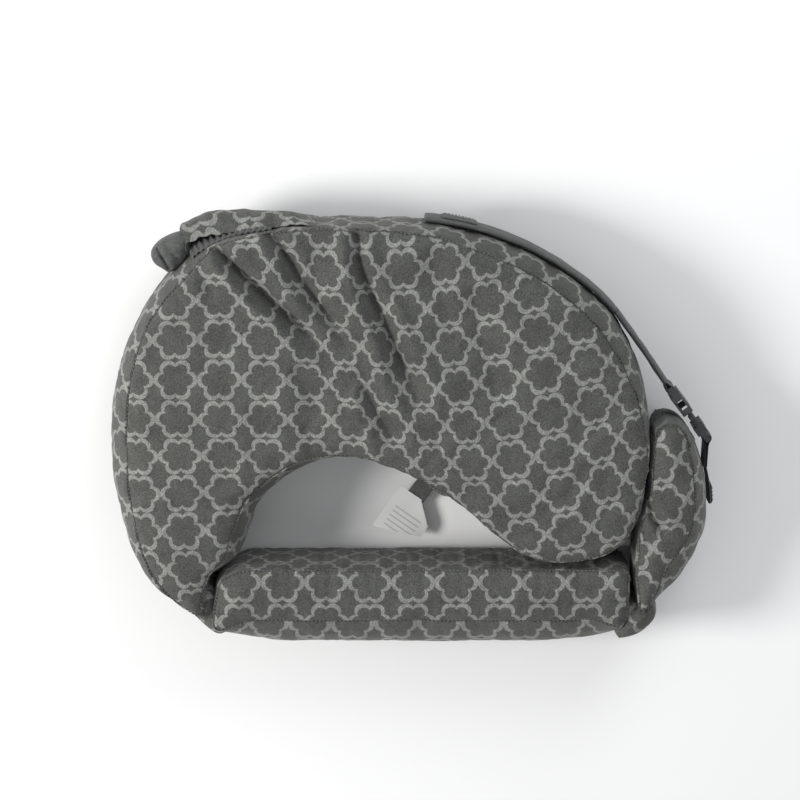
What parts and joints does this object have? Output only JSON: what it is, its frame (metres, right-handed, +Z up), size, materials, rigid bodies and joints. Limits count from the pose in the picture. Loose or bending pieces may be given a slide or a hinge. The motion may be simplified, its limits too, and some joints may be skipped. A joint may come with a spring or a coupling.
{
  "type": "nursing pillow",
  "caption": "Wrap-around nursing pillow: a crescent cushion joined by fabric folds to a backrest and a side wing, with a wall pocket, a belt and a side-release buckle.",
  "frame": {"origin": "a point on the underside, in the waist opening's upper part, 208 mm from the crescent's back wall; the underside lies at z = 0", "axes": "+X along the pillow's long side towards the side wing, +Y from the backrest to the crescent's back, +Z up through the cushions' thickness"},
  "size_m": [0.6018, 0.4461, 0.115],
  "materials": {
    "plush_cover": "short plush with a light grey six-lobed trellis",
    "plain_cloth": "plain woven",
    "foam": "open-cell foam",
    "label": "smooth satin tape",
    "webbing": "ribbed webbing",
    "buckle_plastic": "fine grain",
    "zipper_metal": "dull metal"
  },
  "bodies": {
    "cushion": {"cushion_foam": "foam", "cushion_top_cover": "plush_cover", "cushion_bottom_cover": "plush_cover", "outer_wall_cover": "plush_cover", "waist_wall_cover": "plush_cover", "arm_end_cover": "plush_cover", "pocket_panel": "plush_cover", "pocket_elastic": "plain_cloth", "fabric_tab": "plain_cloth", "sewn_label": "label", "label_tape": "plain_cloth", "belt_fixed_run": "plain_cloth", "belt_anchor_patch": "plain_cloth", "left_fold_seam": "plain_cloth"},
    "backrest": {"backrest_foam": "foam", "backrest_top_cover": "plush_cover", "backrest_bottom_cover": "plush_cover", "backrest_inner_cover": "plush_cover", "backrest_outer_cover": "plush_cover", "backrest_left_end_cover": "plush_cover", "backrest_right_end_cover": "plush_cover", "right_fold_seam": "plain_cloth", "zipper_upper_tape": "plain_cloth", "zipper_lower_tape": "plain_cloth", "zipper_teeth": "zipper_metal", "zipper_left_stop": "zipper_metal", "zipper_right_stop": "zipper_metal"},
    "zipper_slider": {"zipper_slider": "zipper_metal"},
    "zipper_pull": {"zipper_pull": "zipper_metal"},
    "wing": {"wing_foam": "foam", "wing_top_cover": "plush_cover", "wing_bottom_cover": "plush_cover", "wing_inner_cover": "plush_cover", "wing_outer_cover": "plush_cover", "wing_end_cap": "plush_cover", "wing_webbing": "webbing", "wing_webbing_patch": "plain_cloth"},
    "belt": {"belt_free_run": "plain_cloth", "belt_end_loop": "plain_cloth"},
    "receiver": {"buckle_receiver": "buckle_plastic"},
    "plug": {"buckle_plug": "buckle_plastic"},
    "upper_prong": {"buckle_upper_prong": "buckle_plastic"},
    "lower_prong": {"buckle_lower_prong": "buckle_plastic"}
  },
  "joints": [
    {"name": "backrest_fold", "type": "hinge", "parent": "cushion", "child": "backrest", "pos_m": [-0.205, -0.2, 0.055], "axis": [0, 0, -1], "range_deg": [0, 100]},
    {"name": "wing_fold", "type": "hinge", "parent": "backrest", "child": "wing", "pos_m": [0.226, -0.198, 0.055], "axis": [0, 0, -1], "range_deg": [0, 95]},
    {"name": "belt_swing", "type": "hinge", "parent": "cushion", "child": "belt", "pos_m": [0.20088, 0.11749, 0.06], "axis": [0, 0, 1], "range_deg": [0, 75]},
    {"name": "receiver_turn", "type": "hinge", "parent": "belt", "child": "receiver", "pos_m": [0.258, 0.04, 0.06], "axis": [0, 0, 1], "range_deg": [0, 40]},
    {"name": "plug_turn", "type": "hinge", "parent": "wing", "child": "plug", "pos_m": [0.296, -0.01, 0.06], "axis": [0, 0, -1], "range_deg": [0, 40]},
    {"name": "upper_prong_flex", "type": "hinge", "parent": "plug", "child": "upper_prong", "pos_m": [0.28662, 0.00234, 0.0745], "axis": [-0.7962, -0.6051, 0], "range_deg": [0, 6], "stiffness_Nm_per_rad": 0.05},
    {"name": "lower_prong_flex", "type": "hinge", "parent": "plug", "child": "lower_prong", "pos_m": [0.28662, 0.00234, 0.0455], "axis": [0.7962, 0.6051, 0], "range_deg": [0, 6], "stiffness_Nm_per_rad": 0.05},
    {"name": "zipper_slide", "type": "slide", "parent": "backrest", "child": "zipper_slider", "axis": [1, 0, 0], "range_m": [0, 0.172]},
    {"name": "zipper_pull_turn", "type": "hinge", "parent": "zipper_slider", "child": "zipper_pull", "pos_m": [-0.086, -0.226, 0.024], "axis": [-1, 0, 0], "range_deg": [0, 150]}
  ],
  "couplings": [
    {"joint": "lower_prong_flex", "follows": "upper_prong_flex", "ratio": 1}
  ]
}
